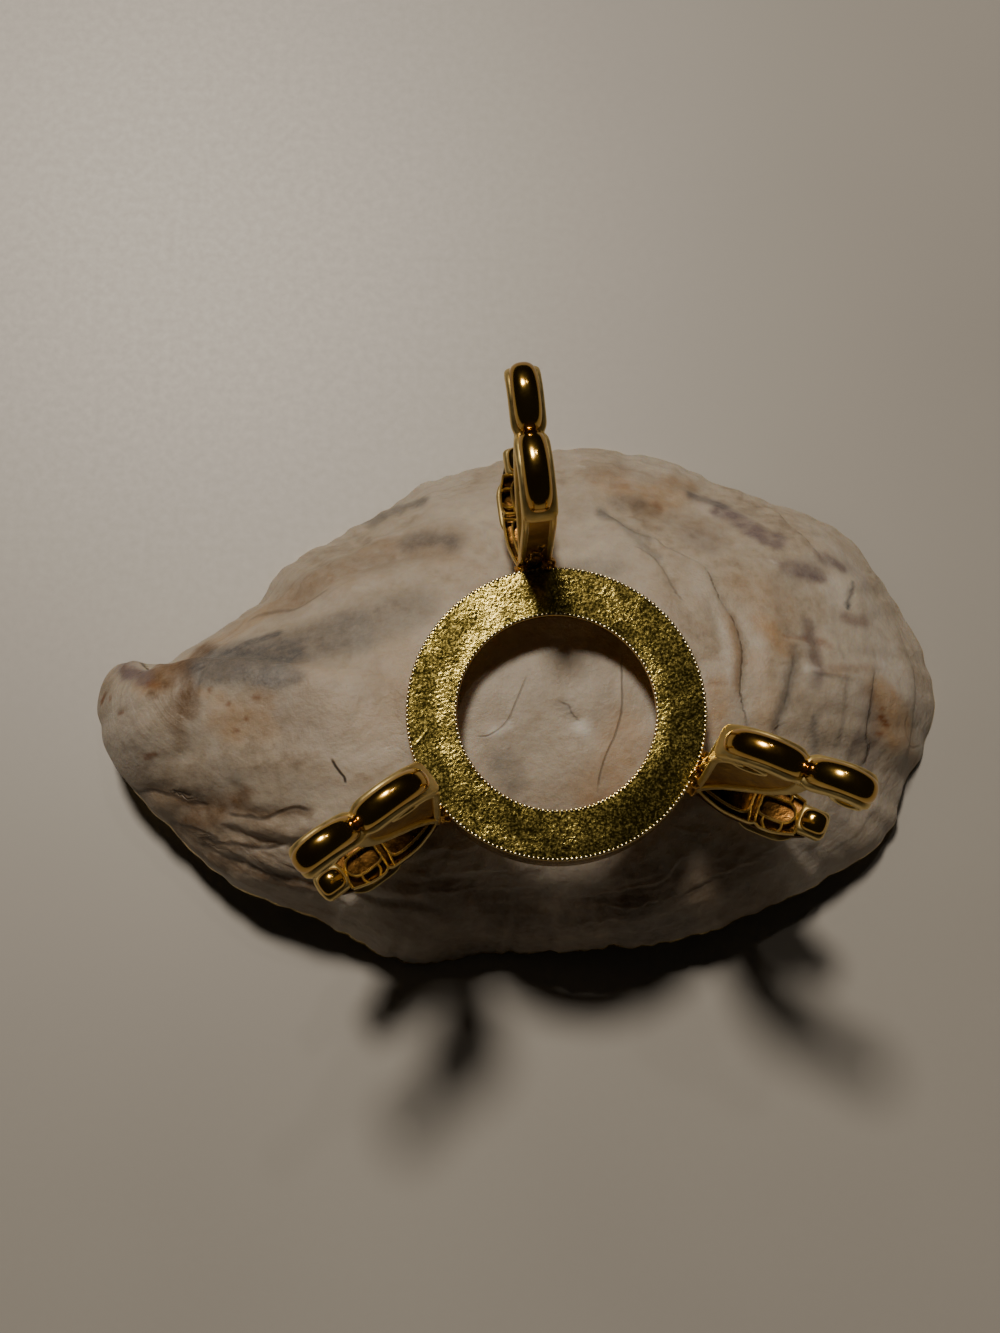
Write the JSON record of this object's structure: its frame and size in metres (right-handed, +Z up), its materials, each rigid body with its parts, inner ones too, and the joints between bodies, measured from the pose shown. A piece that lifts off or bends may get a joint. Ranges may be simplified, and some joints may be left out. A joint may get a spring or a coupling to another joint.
{
  "type": "oyster shell with display stand",
  "caption": "Cupped oyster valve lying rim down, with a small gold-finish ring stand fixed to its crown and its scroll feet pointing up.",
  "frame": {"origin": "under the middle of the whole object, on the surface that the shell's rim lies on", "axes": "+X along the shell from its hinge to its growing end, +Y towards the back leg, +Z up"},
  "size_m": [0.1, 0.0642, 0.0472],
  "materials": {
    "shell": "weathered shell, chalky satin outside in cream and grey with tan, mauve and slate stains, thin gilding on the rim, smooth nacre inside",
    "gold_ring": "gold-plated casting with a fine orange-peel face, beaded edges and a bright outer wall",
    "gold_leg": "bright gold-plated casting, polished lobes and darker recesses, brownish solder at the roots"
  },
  "bodies": {
    "root": {"oyster_shell": "shell", "stand_ring": "gold_ring", "stand_leg_back": "gold_leg", "stand_leg_left": "gold_leg", "stand_leg_right": "gold_leg"}
  },
  "joints": []
}
